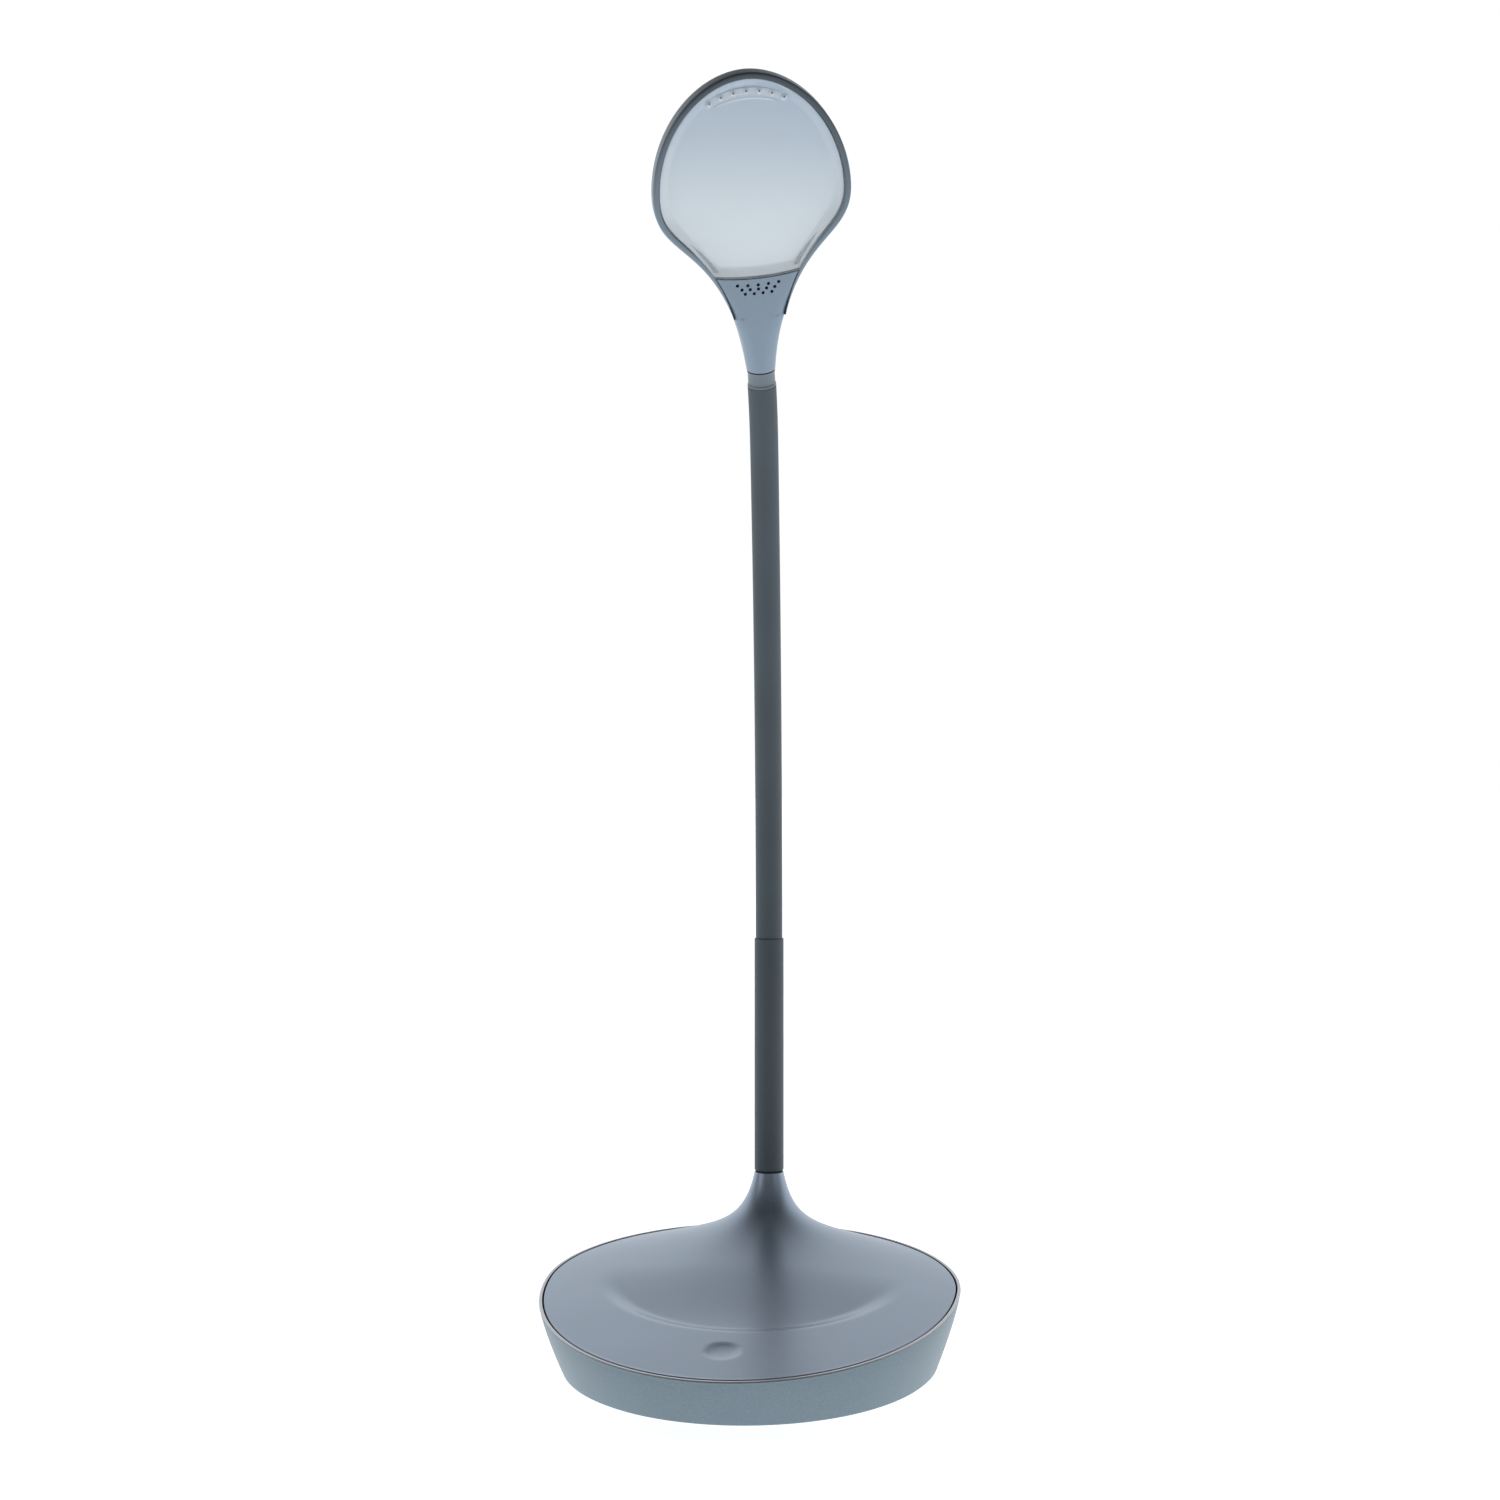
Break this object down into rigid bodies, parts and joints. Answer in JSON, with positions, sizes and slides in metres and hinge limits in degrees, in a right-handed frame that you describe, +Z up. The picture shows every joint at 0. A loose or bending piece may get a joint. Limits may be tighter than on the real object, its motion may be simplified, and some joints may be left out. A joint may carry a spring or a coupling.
{
  "type": "examination lamp",
  "caption": "Table-top gooseneck examination lamp: egg-shaped weighted base, flexible neck and a flat swivelling LED head with a glossy lens.",
  "frame": {"origin": "middle of the base's footprint, on the surface the lamp stands on", "axes": "+Z up, lamp front towards -Y, +X to the right seen from the front"},
  "size_m": [0.1972, 0.1904, 0.5803],
  "materials": {
    "shell": "satin, fine speckled texture",
    "cover": "satin, finely textured",
    "neck": "matt elastomer skin",
    "rubber": "matt",
    "steel": "zinc plated",
    "iron": "black painted casting",
    "board": "solder-masked glass epoxy",
    "dark_plastic": "moulded",
    "brass": "machined",
    "lens": "polished acrylic, milky",
    "white": "white reflective sheet",
    "led": "clear domes",
    "aluminium": "plain sheet"
  },
  "bodies": {
    "root": {"base_shell": "shell", "top_cover": "cover", "cover_seal": "rubber", "bottom_plate": "steel", "ballast": "iron", "foot_mat": "rubber", "plate_screws": "steel", "control_board": "board", "board_standoffs": "brass", "board_parts": "dark_plastic", "board_screws": "steel", "touch_sensor": "brass", "power_jack": "dark_plastic", "stem_tube": "steel", "stem_bracket": "steel", "bracket_screws": "steel", "stem_washer": "steel", "stem_nut": "brass", "collar_ring": "rubber", "stem_sleeve": "neck", "base_leads": "rubber", "neck_link_0": "steel", "neck_skin_0": "neck"},
    "neck_1": {"neck_link_1": "steel", "neck_skin_1": "neck"},
    "neck_2": {"neck_link_2": "steel", "neck_skin_2": "neck"},
    "neck_3": {"neck_link_3": "steel", "neck_skin_3": "neck"},
    "neck_4": {"neck_link_4": "steel", "neck_skin_4": "neck"},
    "neck_5": {"neck_link_5": "steel", "neck_skin_5": "neck"},
    "neck_6": {"neck_link_6": "steel", "neck_skin_6": "neck"},
    "neck_7": {"neck_link_7": "steel", "neck_skin_7": "neck"},
    "neck_8": {"neck_link_8": "steel", "neck_skin_8": "neck"},
    "neck_9": {"neck_link_9": "steel", "neck_skin_9": "neck"},
    "neck_10": {"neck_link_10": "steel", "neck_skin_10": "neck", "swivel_spigot": "steel", "swivel_ferrule": "neck", "friction_washer": "rubber", "swivel_clip": "steel"},
    "head": {"swivel_bush": "brass", "throat_housing": "shell", "back_shell": "shell", "lens_panel": "lens", "lens_gasket": "rubber", "reflector": "white", "led_board": "board", "leds": "led", "heat_spreader": "aluminium", "head_screws": "steel", "head_lead": "rubber"}
  },
  "joints": [
    {"name": "neck_pitch_1", "type": "hinge", "parent": "root", "child": "neck_1", "pos_m": [0, 0.073, 0.2104], "axis": [0.9936, 0.1132, 0], "range_deg": [-24.4, 11.6]},
    {"name": "neck_side_2", "type": "hinge", "parent": "neck_1", "child": "neck_2", "pos_m": [0.00035, 0.06992, 0.23803], "axis": [-0.1125, 0.9874, 0.1115], "range_deg": [-16, 16]},
    {"name": "neck_pitch_3", "type": "hinge", "parent": "neck_2", "child": "neck_3", "pos_m": [0.0007, 0.06684, 0.26565], "axis": [0.9936, 0.1132, 0], "range_deg": [-24.4, 11.6]},
    {"name": "neck_side_4", "type": "hinge", "parent": "neck_3", "child": "neck_4", "pos_m": [0.0014, 0.06072, 0.29276], "axis": [-0.1104, 0.9689, 0.2215], "range_deg": [-16, 16]},
    {"name": "neck_pitch_5", "type": "hinge", "parent": "neck_4", "child": "neck_5", "pos_m": [0.0021, 0.0546, 0.31987], "axis": [0.9936, 0.1132, 0], "range_deg": [-24.4, 11.6]},
    {"name": "neck_side_6", "type": "hinge", "parent": "neck_5", "child": "neck_6", "pos_m": [0.00313, 0.04552, 0.34613], "axis": [-0.1069, 0.9383, 0.3289], "range_deg": [-16, 16]},
    {"name": "neck_pitch_7", "type": "hinge", "parent": "neck_6", "child": "neck_7", "pos_m": [0.00417, 0.03644, 0.37238], "axis": [0.9936, 0.1132, 0], "range_deg": [-24.4, 11.6]},
    {"name": "neck_side_8", "type": "hinge", "parent": "neck_7", "child": "neck_8", "pos_m": [0.00553, 0.0245, 0.39745], "axis": [-0.1021, 0.896, 0.4321], "range_deg": [-16, 16]},
    {"name": "neck_pitch_9", "type": "hinge", "parent": "neck_8", "child": "neck_9", "pos_m": [0.00689, 0.01257, 0.42252], "axis": [0.9936, 0.1132, 0], "range_deg": [-24.4, 11.6]},
    {"name": "neck_side_10", "type": "hinge", "parent": "neck_9", "child": "neck_10", "pos_m": [0.00855, -0.00207, 0.4461], "axis": [-0.096, 0.8426, 0.5299], "range_deg": [-16, 16]},
    {"name": "head_swivel", "type": "hinge", "parent": "neck_10", "child": "head", "pos_m": [0.0089, -0.00944, 0.45788], "axis": [0.0253, -0.5301, 0.8475], "range_deg": [-90, 90]}
  ],
  "couplings": [
    {"joint": "neck_pitch_3", "follows": "neck_pitch_1", "ratio": 1},
    {"joint": "neck_side_4", "follows": "neck_side_2", "ratio": 1},
    {"joint": "neck_pitch_5", "follows": "neck_pitch_1", "ratio": 1},
    {"joint": "neck_side_6", "follows": "neck_side_2", "ratio": 1},
    {"joint": "neck_pitch_7", "follows": "neck_pitch_1", "ratio": 1},
    {"joint": "neck_side_8", "follows": "neck_side_2", "ratio": 1},
    {"joint": "neck_pitch_9", "follows": "neck_pitch_1", "ratio": 1},
    {"joint": "neck_side_10", "follows": "neck_side_2", "ratio": 1}
  ]
}
